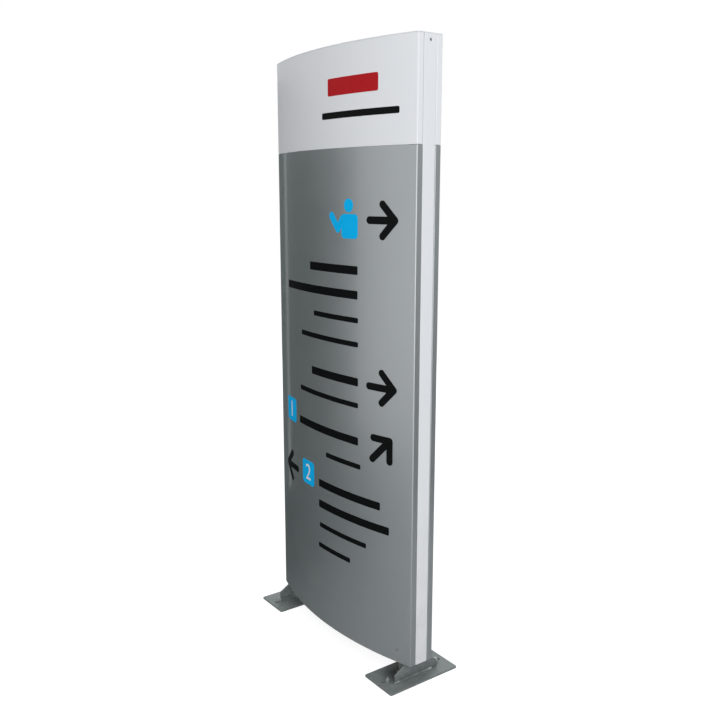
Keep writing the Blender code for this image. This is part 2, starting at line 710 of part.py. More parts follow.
def build_side(side, sign, materials):
    """Foot, post, upright and the fasteners of one side."""
    build_base_plate(side, sign, materials["steel"])
    build_levellers(side, sign, materials["fastener"])
    build_gusset(side, sign, materials["steel"])
    screw_holes = build_upright_screw_holes(side, sign)
    build_post(side, sign, materials["steel"], screw_holes)
    build_upright(side, sign, materials["white"], screw_holes)
    build_upright_screws(side, sign, materials["fastener"])
    build_cap_screw(side, sign, materials["fastener"])


def build_face(name, face, materials):
    """Shells, backing strips and screws of the front or the rear."""
    main_levels, header_levels = stud_heights()
    main = build_shell(f"{name}_main_shell", face, GROUND_CLEARANCE, JOINT_HEIGHT - SHELL_JOINT / 2,
                       main_levels, materials["grey"])
    build_shell(f"{name}_header_shell", face, JOINT_HEIGHT + SHELL_JOINT / 2, SHELL_TOP,
                header_levels, materials["white"])
    bottom = build_strip(f"{name}_bottom_strip", face, BOTTOM_PLATE_Z, BOTTOM_PLATE_Z + STRIP_HEIGHT,
                         materials["aluminium"])
    build_strip(f"{name}_joint_strip", face, JOINT_HEIGHT - STRIP_HEIGHT / 2,
                JOINT_HEIGHT + STRIP_HEIGHT / 2, materials["aluminium"])
    build_strip(f"{name}_top_strip", face, SHELL_TOP - STRIP_HEIGHT, SHELL_TOP, materials["aluminium"])
    screw_holes = build_shell_screw_holes(name, face)
    combine(main, screw_holes, "DIFFERENCE")
    combine(bottom, screw_holes, "DIFFERENCE")
    build_shell_screws(name, face, materials["grey"])


def build_inside(materials):
    """Rails between the posts, the formers on them and the bottom plate."""
    plate = build_bottom_plate(materials["aluminium"])
    plate_top = BOTTOM_PLATE_Z + FORMER_THICKNESS
    bottom_rail = build_rail("bottom_rail", plate_top + GAP + RAIL_SIZE, materials["steel"])
    drill_for_screws("bottom_plate", (plate, bottom_rail),
                     BOTTOM_PLATE_Z - CUT_OVERRUN, plate_top + GAP + RAIL_WALL + CUT_OVERRUN)
    add_rail_screws("bottom_plate", BOTTOM_PLATE_Z, -1, materials["fastener"])

    for number, name in enumerate(FORMERS, start=1):
        low = GROUND_CLEARANCE + MAIN_HEIGHT * number / len(FORMERS) - FORMER_THICKNESS / 2
        inset = STRIPPED_INSET if name == "joint" else STRIP_INSET
        former = build_former(f"{name}_former", low, inset, materials["aluminium"])
        rail = build_rail(f"{name}_rail", low - GAP, materials["steel"])
        drill_for_screws(f"{name}_former", (former, rail),
                         low - GAP - RAIL_WALL - CUT_OVERRUN, low + FORMER_THICKNESS + CUT_OVERRUN)
        add_rail_screws(f"{name}_former", low + FORMER_THICKNESS, 1, materials["fastener"])
    build_rail("top_rail", SHELL_TOP, materials["steel"])


def build_sign():
    """Everything, from the base plates up to the cap."""
    clear_scene()
    materials = {
        "grey": finish("grey_lacquer", (0.30, 0.32, 0.32), 0.28, 0.35),
        "white": finish("white_lacquer", (0.80, 0.80, 0.79), 0.30, 0.0),
        "steel": finish("galvanised_steel", (0.19, 0.21, 0.20), 0.45, 0.80),
        "aluminium": finish("mill_aluminium", (0.55, 0.56, 0.57), 0.40, 1.0),
        "fastener": finish("zinc_plated_fastener", (0.50, 0.51, 0.52), 0.35, 1.0),
    }
    for side, sign in SIDES:
        build_side(side, sign, materials)
    for name, face in FACES:
        build_face(name, face, materials)
    build_inside(materials)
    build_cap(materials["white"])


build_sign()
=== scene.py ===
"""Look of a free-standing totem sign: rolled lacquered shells, cut film, galvanised feet."""

import json
import math

import bmesh
import bpy
from mathutils import Matrix, Vector


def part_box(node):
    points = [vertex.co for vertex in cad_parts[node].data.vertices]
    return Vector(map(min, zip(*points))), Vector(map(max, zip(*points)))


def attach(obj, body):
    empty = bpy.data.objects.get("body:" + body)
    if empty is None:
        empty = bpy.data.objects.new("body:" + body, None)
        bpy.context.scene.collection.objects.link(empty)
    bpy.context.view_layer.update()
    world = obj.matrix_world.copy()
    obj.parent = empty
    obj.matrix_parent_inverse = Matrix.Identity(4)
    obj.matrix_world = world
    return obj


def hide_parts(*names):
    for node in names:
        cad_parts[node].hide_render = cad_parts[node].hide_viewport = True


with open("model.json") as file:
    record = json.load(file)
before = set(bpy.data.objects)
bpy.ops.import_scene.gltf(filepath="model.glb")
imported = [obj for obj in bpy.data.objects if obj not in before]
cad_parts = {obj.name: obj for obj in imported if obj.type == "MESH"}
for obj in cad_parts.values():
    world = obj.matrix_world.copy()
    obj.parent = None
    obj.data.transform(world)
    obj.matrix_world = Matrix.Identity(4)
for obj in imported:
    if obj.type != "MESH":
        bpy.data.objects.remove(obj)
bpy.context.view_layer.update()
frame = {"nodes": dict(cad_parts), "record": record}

# Sizes of the sign, in metres
HALF_WIDTH = 0.385
HALF_DEPTH = 0.045
BULGE = 0.063
FACE_RADIUS = (HALF_WIDTH ** 2 + BULGE ** 2) / (2 * BULGE)
FACE_TURN = 2 * math.asin(HALF_WIDTH / FACE_RADIUS)
FACE_AXIS = FACE_RADIUS - BULGE - HALF_DEPTH       # distance of the front face's axis from the middle
SHEET = 0.002
FOLD = 0.003
LIP = 0.020
LIP_FACE = 0.024
FACE_STEPS = 96
SHEET_EDGE = 0.0003
CAP_LID = 0.003
CAP_EDGE = 0.001

PLATE_X = 0.335
PLATE_TOP = 0.006
PLATE_CORNER = 0.006
PLATE_EDGE = 0.0007
ANCHOR_Y = 0.118
ANCHOR_RADIUS = 0.006
POST_INNER = 0.315
POST_OUTER = 0.355
POST_HALF_DEPTH = 0.040
GUSSET_OUTER = 0.3613
GUSSET_HALF = 0.088
GUSSET_END = 0.0293                                # top of its upright ends
GUSSET_TOP = 0.057
GUSSET_EDGE = 0.0008
GUSSET_WELD_END = 0.062                            # rear end of the bead along it
WELD_RADIUS = 0.0036
CORNER_WELD_RADIUS = 0.0032
LEVELLER_X = 0.339
LEVELLER_Y = 0.102
LEVELLER_RADIUS = 0.004
LEVELLER_PLAY = 0.0003                             # between the thread and its holes
LEVELLER_LOW = 0.0003                              # gap between the screw and the ground
LEVELLER_HEIGHT = 0.0185                           # of its top
THREAD_PITCH = 0.00125
CHAMFER = 0.0007                                   # of thread ends and nuts
NUT_FLATS = 0.013
NUT_LOW = 0.0063
NUT_HEIGHT = 0.0065
SHELL_SCREW_X = 0.335
SHELL_SCREW_Z = 0.102
SHELL_SCREW_HEAD = 0.009
SHELL_SCREW_LIFT = 0.0003                          # of the head off the face
CAP_SCREW_X = 0.384
CAP_SCREW_Z = 1.980
CAP_SCREW_HEAD = 0.0085
CAP_SCREW_DEPTH = 0.005

FILM = 0.0002
FILM_LIFT = 0.0001
FILM_MARGIN = 0.002                                # sheet left round the cut outline
FILM_COLUMN = 0.006                                # width of a column of the sheet
FILM_Y = -0.14                                     # of the sheet before it is laid on the face
KNIFE_Y = -0.09                                    # middle of the knives, which reach through the face
KNIFE_DEPTH = 0.12

# Studio: strengths of light, and places in metres
AMBIENT = 0.56
FLOOR_LIFT = 0.87
CARD_LIFT = 0.0005                                 # of the cards off the floor
FLAG_LEFT, FLAG_RIGHT = -1.7, 1.5
FLAG_FRONT, FLAG_REAR = -2.4, 1.2
FLAG_HEIGHT = 2.1
BACK_TURN = math.radians(40)                       # of the back card, about Z
BACK_REACH = 1.6                                   # from the sign outwards
BACK_WIDTH = 2.6
BACK_HEIGHT = 2.4
STRIP_X, STRIP_Y = -1.62, -0.35
STRIP_WIDTH = 0.50
STRIP_HEIGHT = 2.0
LAMPS = (                                          # name, place, aim, size, power in watts
    ("key", (4.15, -2.45, 2.80), (0, 0, 1.25), 6.0, 212),
    ("rear_fill", (-3.5, 3.0, 2.7), (0, 0, 1.2), 5.0, 145),
)

# Ways from one piece to its copies
HALF_TURN = Matrix.Rotation(math.pi, 4, "Z")
TO_LEFT = Matrix.Scale(-1, 4, (1, 0, 0))
TO_REAR = Matrix.Scale(-1, 4, (0, 1, 0))

TOUCH = 0.00001                                    # reach within which places count as one


# Modelling

def add(name, primitive, scale=(1.0, 1.0, 1.0), **place):
    """Add a primitive with nothing else selected, name it and apply its place."""
    bpy.ops.object.select_all(action="DESELECT")
    primitive(**place)
    piece = bpy.context.object
    piece.scale = scale
    piece.name = name
    piece.data.name = name
    bpy.ops.object.transform_apply(location=True, rotation=True, scale=True)
    return piece


def choose(piece):
    """Make one piece the only one selected."""
    bpy.ops.object.select_all(action="DESELECT")
    piece.select_set(True)
    bpy.context.view_layer.objects.active = piece


def shape(piece, kind, test):
    """Go into edit mode and select the vertices, edges or faces that pass a test."""
    if bpy.context.mode == "OBJECT":
        choose(piece)
        bpy.ops.object.mode_set(mode="EDIT")
    bpy.ops.mesh.select_mode(type=kind)
    bpy.ops.mesh.select_all(action="DESELECT")
    mesh = bmesh.from_edit_mesh(piece.data)
    items = {"VERT": mesh.verts, "EDGE": mesh.edges, "FACE": mesh.faces}[kind]
    for item in items:
        if test(item):
            item.select_set(True)
    mesh.select_flush_mode()
    bmesh.update_edit_mesh(piece.data)


def done():
    """Leave edit mode."""
    bpy.ops.object.mode_set(mode="OBJECT")


def bevel(offset, segments):
    """Round the selected edges."""
    bpy.ops.mesh.bevel(offset=offset, segments=segments, affect="EDGES")


def face_outwards():
    """Turn all faces outwards."""
    bpy.ops.mesh.select_all(action="SELECT")
    bpy.ops.mesh.normals_make_consistent(inside=False)


def middle(edge):
    """Middle of an edge."""
    return (edge.verts[0].co + edge.verts[1].co) / 2


def upright_edge(edge):
    """Whether an edge stands along Z."""
    side = edge.verts[1].co - edge.verts[0].co
    return abs(side.z) > 0.99 * side.length


def near(value, target, reach=0.0002):
    """Whether a coordinate lies at a place."""
    return abs(value - target) < reach


def modify(piece, kind, **settings):
    """Add a modifier and apply it."""
    choose(piece)
    modifier = piece.modifiers.new(kind.lower(), kind)
    for name, value in settings.items():
        setattr(modifier, name, value)
    bpy.ops.object.modifier_apply(modifier=modifier.name)


def break_edges(piece, width, segments, degrees=50):
    """Round a piece's sharp edges."""
    modify(piece, "BEVEL", width=width, segments=segments, limit_method="ANGLE",
           angle_limit=math.radians(degrees))


def smooth(piece, degrees=30):
    """Shade smooth, except over sharp edges."""
    choose(piece)
    bpy.ops.object.shade_smooth_by_angle(angle=math.radians(degrees))


def smooth_flat(piece):
    """Shade smooth, and keep large flat faces even beside their rounded edges."""
    smooth(piece)
    modify(piece, "WEIGHTED_NORMAL", keep_sharp=True)


def copy(piece, name, place):
    """Copy of a piece with its own mesh, moved in that mesh."""
    twin = piece.copy()
    twin.data = piece.data.copy()
    twin.name = name
    twin.data.name = name
    bpy.context.scene.collection.objects.link(twin)
    twin.data.transform(place)
    if place.determinant() < 0:
        twin.data.flip_normals()
    return twin


def fuse(name, pieces):
    """Join pieces into one object."""
    choose(pieces[0])
    for piece in pieces:
        piece.select_set(True)
    bpy.ops.object.join()
    whole = bpy.context.object
    whole.name = name
    whole.data.name = name
    return whole


def stand(point, direction):
    """Matrix that moves a piece from the origin to a point and turns its Z along a direction."""
    return Matrix.Translation(point) @ direction.to_track_quat("Z", "Y").to_matrix().to_4x4()


def rod(name, radius, low, high, sides=48):
    """Round or many-sided rod along Z."""
    return add(name, bpy.ops.mesh.primitive_cylinder_add, vertices=sides, radius=radius,
               depth=high - low, location=(0, 0, (low + high) / 2))


def cut(piece, tool, operation="DIFFERENCE"):
    """Cut a piece with a tool, which is then thrown away."""
    modify(piece, "BOOLEAN", operation=operation, solver="EXACT", object=tool)
    bpy.data.objects.remove(tool, do_unlink=True)


def dress(piece, look):
    """Give a piece its finish and let it ride on the sign."""
    piece.data.materials.clear()
    piece.data.materials.append(look.material)
    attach(piece, "root")


# Finishes

class Value:
    """Socket that gives a number, which may change over a surface. Arithmetic on it adds Math nodes."""

    def __init__(self, look, socket):
        self.look = look
        self.socket = socket

    def math(self, operation, first, second):
        """Result of a Math node on two numbers or values."""
        return self.look.node("Math", {"operation": operation}, {0: first, 1: second})

    def __add__(self, other):
        return self.math("ADD", self, other)

    def __radd__(self, other):
        return self.math("ADD", other, self)

    def __sub__(self, other):
        return self.math("SUBTRACT", self, other)

    def __rsub__(self, other):
        return self.math("SUBTRACT", other, self)

    def __mul__(self, other):
        return self.math("MULTIPLY", self, other)

    def __rmul__(self, other):
        return self.math("MULTIPLY", other, self)


class Nodes:
    """Node tree, and the way to add a node to it."""

    def __init__(self, tree):
        self.tree = tree

    def fill(self, socket, value):
        """Set a socket to a number or colour, or link a value to it."""
        if isinstance(value, Value):
            self.tree.links.new(value.socket, socket)
        elif isinstance(value, tuple) and len(value) == 3 and socket.type == "RGBA":
            socket.default_value = (*value, 1.0)
        else:
            socket.default_value = value

    def node(self, kind, settings, sockets, output=0):
        """Add a node, set it up, then fill its sockets."""
        made = self.tree.nodes.new("ShaderNode" + kind)
        for name, setting in settings.items():
            setattr(made, name, setting)
        for name, value in sockets.items():
            self.fill(made.inputs[name], value)
        return Value(self, made.outputs[output])

    def object_axis(self, axis):
        """One of the object coordinates."""
        where = self.node("TexCoord", {}, {}, "Object")
        return self.node("SeparateXYZ", {}, {"Vector": where}, axis)

    def distance(self, axis, centre=0.0):
        """Distance from a place along an axis."""
        return self.node("Math", {"operation": "ABSOLUTE"}, {0: self.object_axis(axis) - centre})

    def within(self, value, centre, reach):
        """1 where a value lies near a place, else 0."""
        return self.node("Math", {"operation": "COMPARE"}, {0: value, 1: centre, 2: reach})

    def seen(self, strength):
        """Strength for camera, glossy and transmission rays, and nothing for the others."""
        rays = [self.node("LightPath", {}, {}, f"Is {kind} Ray")
                for kind in ("Camera", "Glossy", "Transmission")]
        total = self.node("Math", {"operation": "MINIMUM"}, {0: rays[0] + rays[1] + rays[2], 1: 1.0})
        return total * strength


class Look(Nodes):
    """Finish of a surface: a Principled shader and the nodes that vary it."""

    def __init__(self, name, **constants):
        self.material = bpy.data.materials.new(name)
        self.material.use_nodes = True
        super().__init__(self.material.node_tree)
        self.shader = self.tree.nodes["Principled BSDF"]
        self.set(**constants)

    def set(self, **values):
        """Fill the shader's sockets, named with underscores for spaces."""
        for name, value in values.items():
            self.fill(self.shader.inputs[name.replace("_", " ").title().replace("Ior", "IOR")], value)

    def place(self, stretch=(1.0, 1.0, 1.0)):
        """Object coordinates, stretched along the axes."""
        where = self.node("TexCoord", {}, {}, "Object")
        return self.node("Mapping", {}, {"Vector": where, "Scale": stretch})

    def clouds(self, scale, detail, stretch=(1.0, 1.0, 1.0)):
        """Soft noise from 0 to 1, with scale in patches to the metre."""
        return self.node("TexNoise", {}, {"Vector": self.place(stretch), "Scale": scale,
                                          "Detail": detail})

    def spread(self, value, low, high):
        """Value pulled apart so that low becomes 0 and high becomes 1, and kept between them."""
        return self.node("MapRange", {}, {"Value": value, "From Min": low, "From Max": high})

    def blend(self, mask, first, second):
        """Colour between two, by a mask."""
        return self.node("Mix", {"data_type": "RGBA"}, {0: mask, 6: first, 7: second}, 2)

    def bump(self, height, depth):
        """Relief of a given depth in metres."""
        self.set(normal=self.node("Bump", {}, {"Height": height, "Distance": depth,
                                               "Strength": 1.0}))

    def only_reflected(self, cover):
        """Let only reflections meet the surface, and see through it where cover falls to 0."""
        glossy = self.node("LightPath", {}, {}, "Is Glossy Ray")
        clear = self.node("BsdfTransparent", {}, {})
        surface = Value(self, self.shader.outputs[0])
        self.fill(self.tree.nodes["Material Output"].inputs["Surface"],
                  self.node("MixShader", {}, {0: glossy * cover, 1: clear, 2: surface}))


def grey_lacquer():
    """Silver-grey metallic lacquer: flakes, faint orange peel, low waves of the sheet, and dust
    towards the ground."""
    look = Look("grey_metallic_lacquer", metallic=0.70, specular_ior_level=0.3,
                specular_tint=(0.46, 0.56, 0.53), coat_weight=0.3, coat_roughness=0.09)
    tone = look.clouds(3.0, 3.0, (1.0, 1.0, 0.35))
    flake = look.clouds(900.0, 1.0)
    colour = look.blend(tone, (0.350, 0.372, 0.382), (0.388, 0.410, 0.422))
    colour = look.blend(look.spread(flake, 0.35, 0.75) * 0.18, colour, (0.50, 0.52, 0.52))
    patches = look.spread(look.clouds(9.0, 4.0), 0.35, 0.8)
    dust = look.spread(look.object_axis("Z"), 0.42, 0.06) * patches
    colour = look.blend(dust * 0.20, colour, (0.30, 0.29, 0.26))
    look.set(base_color=colour)
    look.set(roughness=0.36 + 0.08 * look.clouds(14.0, 3.0) + 0.18 * dust)
    look.bump(look.clouds(170.0, 2.0) + 12.0 * look.clouds(4.0, 1.0, (1.0, 1.0, 0.6)), 0.00005)
    return look


def white_lacquer():
    """Cool white lacquer with faint handling marks, and dust towards the ground."""
    look = Look("white_lacquer", specular_ior_level=0.2)
    tone = look.clouds(4.0, 3.0, (1.0, 1.0, 0.3))
    colour = look.blend(tone, (0.790, 0.810, 0.835), (0.830, 0.845, 0.865))
    patches = look.spread(look.clouds(11.0, 4.0), 0.3, 0.8)
    dust = look.spread(look.object_axis("Z"), 0.60, 0.05) * patches
    colour = look.blend(dust * 0.50, colour, (0.50, 0.48, 0.45))
    look.set(base_color=colour)
    look.set(roughness=0.28 + 0.10 * look.clouds(20.0, 3.0) + 0.2 * dust)
    look.bump(look.clouds(170.0, 2.0), 0.00004)
    return look


def galvanised_steel():
    """Hot-dip galvanised steel: dull crystals of two greys, white bloom, a lumpy skin, and painted
    shade under the panel on the plates, strong on the right foot and faint on the left."""
    look = Look("galvanised_steel", metallic=0.10, specular_ior_level=0.12)
    crystal = look.node("TexVoronoi", {}, {"Vector": look.place(), "Scale": 95.0}, "Color")
    shade = look.node("RGBToBW", {}, {"Color": crystal})
    colour = look.blend(shade, (0.165, 0.190, 0.185), (0.215, 0.240, 0.235))
    bloom = look.spread(look.clouds(26.0, 5.0), 0.52, 0.78)
    colour = look.blend(bloom * 0.30, colour, (0.36, 0.38, 0.375))
    grime = look.spread(look.clouds(8.0, 4.0), 0.50, 0.80)
    colour = look.blend(grime * 0.30, colour, (0.11, 0.11, 0.10))
    # Painted shade: the plates under the panel are darkened where its shadow falls, strongly on the
    # right foot and faintly on the left
    across = look.distance("X")
    under_panel = (look.spread(across, 0.258, 0.305) * look.spread(across, 0.366, 0.356)
                 * look.spread(look.distance("Y"), 0.115, 0.060)
                 * look.spread(look.object_axis("Z"), 0.030, 0.008))
    right_foot = look.spread(look.object_axis("X"), -0.3, 0.3)
    painted_shade = under_panel * (0.05 + 0.91 * right_foot)
    colour = look.blend(painted_shade, colour, (0.035, 0.040, 0.037))
    look.set(base_color=colour)
    look.set(roughness=0.44 + 0.14 * shade + 0.2 * bloom)
    look.bump(look.clouds(130.0, 4.0) + 0.3 * shade, 0.0003)
    return look


def weld_metal():
    """Zinc over a weld bead, brighter than the plate, and duller along the middle of the long beads."""
    look = Look("galvanised_weld", metallic=0.5)
    long_bead = look.spread(look.distance("X"), 0.3565, 0.3585)
    from_middle = look.distance("Y", (GUSSET_WELD_END - GUSSET_HALF) / 2)
    dull = long_bead * look.spread(from_middle, 0.068, 0.056)
    tone = look.spread(look.clouds(35.0, 3.0), 0.42, 0.64) * (1.0 - 0.75 * dull)
    look.set(base_color=look.blend(tone, (0.13, 0.15, 0.15), (0.56, 0.58, 0.58)))
    look.set(roughness=0.30 + 0.20 * look.clouds(90.0, 2.0))
    look.bump(look.clouds(420.0, 3.0), 0.0003)
    return look


def screw_lacquer():
    """Grey lacquer, darker and duller than the panel's, on the heads of the shell screws."""
    look = Look("dull_grey_lacquer", metallic=0.4, specular_ior_level=0.2)
    tone = look.clouds(180.0, 3.0)
    look.set(base_color=look.blend(tone, (0.20, 0.21, 0.21), (0.29, 0.30, 0.30)))
    look.set(roughness=0.45 + 0.2 * tone)
    look.bump(look.clouds(500.0, 2.0), 0.00004)
    return look


def film(name, colour):
    """Cast film, nearly even, with a faint orange peel from the lacquer under it."""
    look = Look(name, specular_ior_level=0.04)
    tone = look.clouds(30.0, 2.0)
    lighter = tuple(min(1.0, channel * 1.12 + 0.001) for channel in colour)
    look.set(base_color=look.blend(tone, colour, lighter))
    look.set(roughness=0.42 + 0.08 * look.clouds(60.0, 2.0))
    look.bump(look.clouds(170.0, 2.0), 0.00003)
    return look


def mill_aluminium():
    """Aluminium sheet as it leaves the mill, with fine rolling lines."""
    look = Look("mill_aluminium", metallic=0.9)
    lines = look.clouds(60.0, 3.0, (0.2, 6.0, 6.0))
    look.set(base_color=look.blend(lines, (0.48, 0.49, 0.50), (0.62, 0.63, 0.64)))
    look.set(roughness=0.34 + 0.14 * lines)
    look.bump(lines, 0.00003)
    return look


def zinc_plate():
    """Zinc plating on a fastener, somewhat dulled by the weather."""
    look = Look("zinc_plated_steel", metallic=0.60, specular_ior_level=0.2)
    tone = look.clouds(220.0, 3.0)
    look.set(base_color=look.blend(tone, (0.29, 0.30, 0.31), (0.46, 0.47, 0.47)))
    look.set(roughness=0.34 + 0.2 * tone)
    look.bump(look.clouds(500.0, 2.0), 0.00005)
    return look


# Shells and cap

def side_plane(name, y_from, y_to, low, high):
    """Flat sheet in the plane of the right side."""
    return add(name, bpy.ops.mesh.primitive_plane_add, size=1.0, rotation=(0, math.pi / 2, 0),
               location=(HALF_WIDTH, (y_from + y_to) / 2, (low + high) / 2),
               scale=(high - low, y_to - y_from, 1.0))


def roll(face):
    """Sweep the selected edge round the axis of the front (-1) or the rear (1) face."""
    bpy.ops.mesh.spin(steps=FACE_STEPS, angle=-face * FACE_TURN, center=(0, -face * FACE_AXIS, 0),
                      axis=(0, 0, 1))


def push(x, y, z=0.0):
    """Extrude what is selected."""
    bpy.ops.mesh.extrude_region_move(TRANSFORM_OT_translate={"value": (x, y, z)})


def rolled_shell(name, low, high):
    """Front shell: side return, rolled face, other return and both lips, folded from one sheet."""
    shell = side_plane(name, -HALF_DEPTH, -LIP_FACE, low, high)
    shape(shell, "EDGE", lambda edge: upright_edge(edge) and near(middle(edge).y, -HALF_DEPTH))
    roll(-1)
    push(0, HALF_DEPTH - LIP_FACE)
    push(LIP, 0)
    shape(shell, "EDGE", lambda edge: upright_edge(edge) and middle(edge).x > 0
          and near(middle(edge).y, -LIP_FACE))
    push(-LIP, 0)
    shape(shell, "EDGE", lambda edge: upright_edge(edge) and near(abs(middle(edge).x), HALF_WIDTH))
    bevel(FOLD, 5)
    face_outwards()
    done()
    modify(shell, "SOLIDIFY", thickness=SHEET, offset=-1.0, use_even_offset=True)
    break_edges(shell, SHEET_EDGE, 2)
    smooth_flat(shell)
    return shell


def build_shells(grey, white):
    """The four shells, each in the place of its solid."""
    for level, look, slot in (("main", grey, "grey_lacquer"), ("header", white, "white_lacquer")):
        low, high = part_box(f"front_{level}_shell")
        front = rolled_shell(f"front_{level}_panel", low.z, high.z)
        rear = copy(front, f"rear_{level}_panel", HALF_TURN)
        for panel, node in ((front, f"front_{level}_shell"), (rear, f"rear_{level}_shell")):
            dress(panel, look)
            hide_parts(node)


def build_cap(look):
    """Lid with rolled front and rear edges and a soft upper rim."""
    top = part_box("top_cap")[1].z
    under = top - CAP_LID
    cap = side_plane("cap_lid", -HALF_DEPTH, HALF_DEPTH, under, top)
    for face in (-1, 1):
        shape(cap, "EDGE", lambda edge: upright_edge(edge) and middle(edge).x > 0
              and near(middle(edge).y, face * HALF_DEPTH))
        roll(face)
    shape(cap, "EDGE", lambda edge: upright_edge(edge) and near(middle(edge).x, -HALF_WIDTH))
    bpy.ops.mesh.edge_face_add()
    for level in (under, top):
        shape(cap, "VERT", lambda vert: near(vert.co.z, level))
        bpy.ops.mesh.edge_face_add()
    face_outwards()
    shape(cap, "EDGE", lambda edge: upright_edge(edge) and near(abs(middle(edge).x), HALF_WIDTH))
    bevel(FOLD, 6)
    done()
    break_edges(cap, CAP_EDGE, 4)
    smooth(cap)
    dress(cap, look)
    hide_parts("top_cap")


# Feet

def block(name, node):
    """Block that fills the box of a solid."""
    low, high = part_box(node)
    return add(name, bpy.ops.mesh.primitive_cube_add, size=1.0, location=(low + high) / 2,
               scale=tuple(high - low))


def both_sides(piece, name, look, node):
    """Dress a right-hand piece and its mirrored copy, each in the place of its solid."""
    twin = copy(piece, f"left_{name}", TO_LEFT)
    for side, one in (("right", piece), ("left", twin)):
        dress(one, look)
        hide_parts(f"{side}_{node}")


def build_plates(look):
    """Base plates with rounded corners, drilled holes and a broken rim."""
    plate = block("right_foot_plate", "right_base_plate")
    shape(plate, "EDGE", upright_edge)
    bevel(PLATE_CORNER, 10)
    done()
    for way in (-1, 1):
        for x, y, radius in ((PLATE_X, ANCHOR_Y, ANCHOR_RADIUS),
                             (LEVELLER_X, LEVELLER_Y, LEVELLER_RADIUS + LEVELLER_PLAY)):
            drill = rod("drill", radius, -0.01, 0.02)
            drill.data.transform(Matrix.Translation((x, way * y, 0)))
            cut(plate, drill)
    break_edges(plate, PLATE_EDGE, 3)
    smooth_flat(plate)
    both_sides(plate, "foot_plate", look, "base_plate")


def build_gussets(look):
    """Webs beside the posts, cut to a slope at both ends."""
    gusset = block("right_foot_web", "right_gusset")
    for way in (-1, 1):
        shape(gusset, "FACE", lambda face: True)
        slope = (0, way * (GUSSET_TOP - GUSSET_END), GUSSET_HALF - POST_HALF_DEPTH)
        bpy.ops.mesh.bisect(plane_co=(0, way * GUSSET_HALF, GUSSET_END), plane_no=slope,
                            use_fill=True, clear_outer=True)
    face_outwards()
    done()
    break_edges(gusset, GUSSET_EDGE, 3, degrees=20)
    smooth_flat(gusset)
    both_sides(gusset, "foot_web", look, "gusset")


# Fasteners and welds

def hexagon_radius(flats):
    """Radius of a hexagon's corners, from its width across flats."""
    return flats / 2 / math.cos(math.pi / 6)


def threaded_rod(name, radius, pitch, low, high):
    """Rod with a real thread and chamfered ends. One corner of a plane becomes the outline of one
    turn, which is wound up along Z and cut to length."""
    corner = 0.005
    thread = add(name, bpy.ops.mesh.primitive_plane_add, size=2 * corner)
    shape(thread, "VERT", lambda vert: vert.co.x < 0 or vert.co.y < 0)
    bpy.ops.mesh.delete(type="VERT")
    bpy.ops.mesh.select_all(action="SELECT")
    depth, flank, crest = 0.61 * pitch, 0.44 * pitch, 0.12 * pitch
    bpy.ops.transform.translate(value=(radius - depth - corner, -corner, low - pitch))
    for across, along in ((depth, flank), (0, crest), (-depth, flank)):
        bpy.ops.mesh.extrude_vertices_move(TRANSFORM_OT_translate={"value": (across, 0, along)})
    done()
    modify(thread, "SCREW", axis="Z", angle=2 * math.pi, screw_offset=pitch,
           iterations=math.ceil((high - low) / pitch) + 2, steps=28, render_steps=28)
    shape(thread, "VERT", lambda vert: True)
    bpy.ops.mesh.remove_doubles(threshold=TOUCH)
    bpy.ops.mesh.fill_holes(sides=0)
    face_outwards()
    done()
    blank = rod("blank", radius + 0.0001, low, high)
    shape(blank, "EDGE", lambda edge: near(edge.verts[0].co.z, edge.verts[1].co.z, TOUCH))
    bevel(CHAMFER, 2)
    done()
    cut(thread, blank, "INTERSECT")
    smooth(thread, 40)
    return thread


def hex_nut(name, flats, low, height, bore):
    """Nut with both faces chamfered to a cone, as turned from hexagon bar."""
    corner = hexagon_radius(flats)
    reach = corner + 0.0002
    narrow = 0.47 * flats / reach                   # down to the ring on which the nut bears
    nut = rod(name, corner, low, low + height, 6)
    blank = rod("blank", reach, low + CHAMFER, low + height - CHAMFER, 64)
    for way in (-1, 1):
        shape(blank, "FACE", lambda face: way * face.normal.z > 0.9)
        push(0, 0, way * CHAMFER)
        bpy.ops.transform.resize(value=(narrow, narrow, 1))
    done()
    cut(nut, blank, "INTERSECT")
    cut(nut, rod("bore", bore, low - 0.001, low + height + 0.001))
    smooth(nut)
    return nut


def socket_screw(name, head, height, socket, depth, shank, grip, rounding, steps):
    """Screw with a rounded head and a hexagon socket; the head rests on height 0."""
    screw = rod(name, head / 2, 0, height)
    shape(screw, "FACE", lambda face: face.normal.z < -0.9)
    bpy.ops.mesh.inset(thickness=(head - shank) / 2)
    push(0, 0, -grip)
    shape(screw, "EDGE", lambda edge: all(near(vert.co.z, height, TOUCH) for vert in edge.verts))
    bevel(rounding, steps)
    done()
    cut(screw, rod("socket", hexagon_radius(socket), height - depth, height + 0.001, 6))
    smooth(screw)
    return screw


def build_levellers(look):
    """Threaded levelling screws and their nuts on the four ends of the plates."""
    screw = threaded_rod("levelling_thread", LEVELLER_RADIUS, THREAD_PITCH, LEVELLER_LOW,
                         LEVELLER_HEIGHT)
    nut = hex_nut("levelling_hexagon", NUT_FLATS, NUT_LOW, NUT_HEIGHT,
                  LEVELLER_RADIUS + LEVELLER_PLAY)
    for side, sign in (("left", -1), ("right", 1)):
        for end, way in (("front", -1), ("rear", 1)):
            place = Vector((sign * LEVELLER_X, way * LEVELLER_Y, 0))
            turn = Matrix.Rotation(0.7 * sign + 0.4 * way, 4, "Z")
            for model, part in ((screw, "screw"), (nut, "nut")):
                piece = copy(model, f"{side}_{end}_m8_{part}", Matrix.Translation(place) @ turn)
                dress(piece, look)
                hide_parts(f"{side}_{end}_levelling_{part}")
    for model in (screw, nut):
        bpy.data.objects.remove(model, do_unlink=True)


